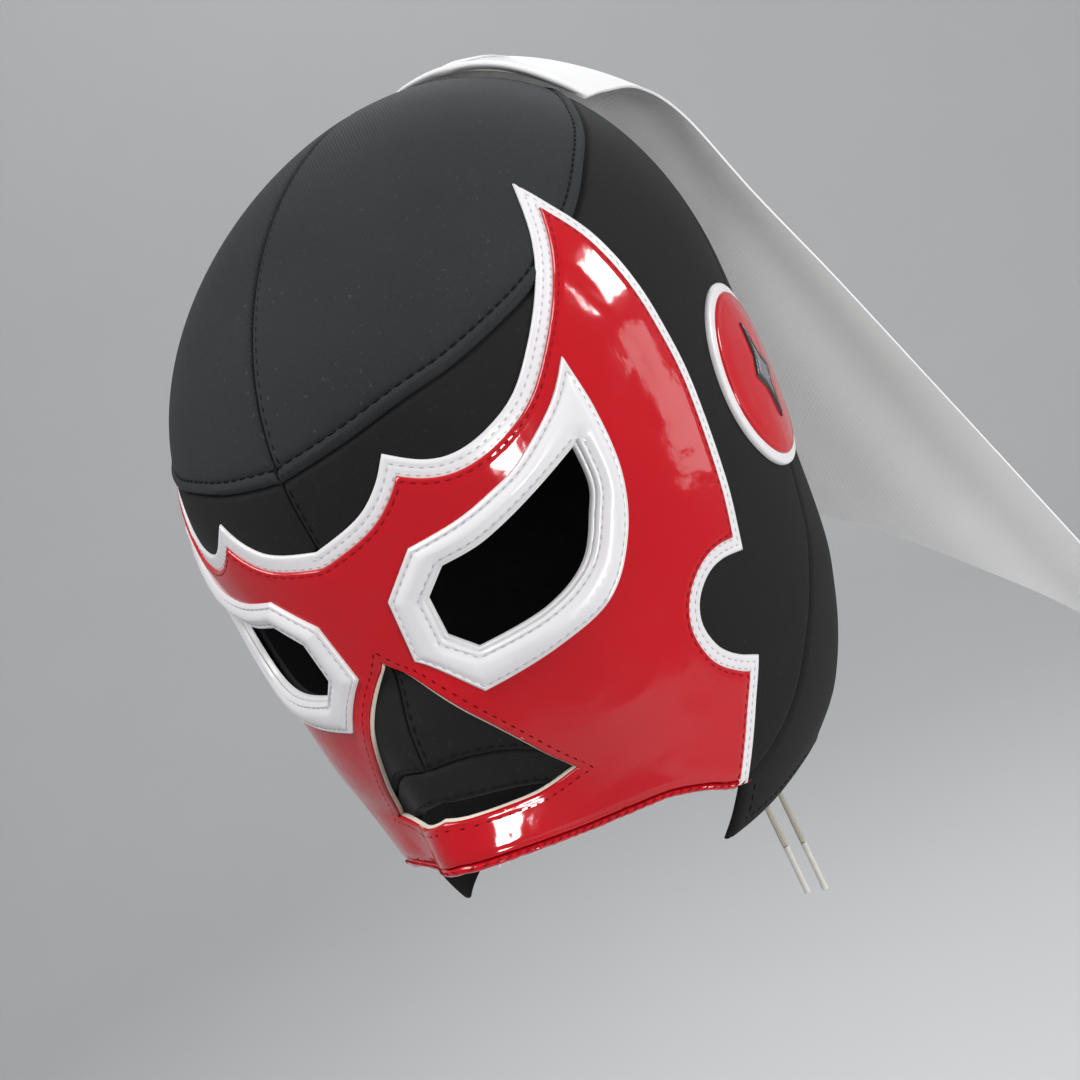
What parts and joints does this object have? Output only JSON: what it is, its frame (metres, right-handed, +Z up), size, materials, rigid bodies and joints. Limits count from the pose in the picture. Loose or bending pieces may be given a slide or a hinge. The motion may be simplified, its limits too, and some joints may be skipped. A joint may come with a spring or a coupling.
{
  "type": "luchador mask",
  "caption": "Full-head wrestling mask with a shaped vinyl face, bordered eye openings, ear discs, a laced back and a cloth hanging from the crown.",
  "frame": {"origin": "top of the hollow inside the crown, where the wearer's head bears", "axes": "+Z up, -Y the way the face looks, +X the wearer's left"},
  "size_m": [0.288, 0.218, 0.3059],
  "materials": {
    "crown_cloth": "matte",
    "side_cloth": "matte",
    "red_vinyl": "gloss",
    "white_vinyl": "satin",
    "star_black": "satin",
    "star_grey": "satin",
    "white_cloth": "matte",
    "lace": "matte",
    "eyelet": "satin"
  },
  "bodies": {
    "root": {"crown_panel_left": "crown_cloth", "crown_panel_right": "crown_cloth", "side_panel_left": "side_cloth", "side_panel_right": "side_cloth", "nose_panel_left": "side_cloth", "nose_panel_right": "side_cloth", "rear_panel_left": "side_cloth", "rear_panel_right": "side_cloth", "eye_trim_left": "white_vinyl", "eye_trim_right": "white_vinyl", "ear_rim_left": "white_vinyl", "ear_rim_right": "white_vinyl", "ear_disc_left": "red_vinyl", "ear_disc_right": "red_vinyl", "ear_star_left": "star_black", "ear_star_right": "star_black", "ear_star_centre_left": "star_grey", "ear_star_centre_right": "star_grey", "lace_end_left": "lace", "lace_end_right": "lace", "aglet_left": "lace", "aglet_right": "lace", "lip_band": "side_cloth", "face_panel": "red_vinyl", "face_border": "white_vinyl", "chin_hem": "red_vinyl", "back_cloth": "white_cloth", "back_lace": "lace", "eyelet_left_1": "eyelet", "eyelet_left_2": "eyelet", "eyelet_left_3": "eyelet", "eyelet_left_4": "eyelet", "eyelet_left_5": "eyelet", "eyelet_right_1": "eyelet", "eyelet_right_2": "eyelet", "eyelet_right_3": "eyelet", "eyelet_right_4": "eyelet", "eyelet_right_5": "eyelet"}
  },
  "joints": []
}
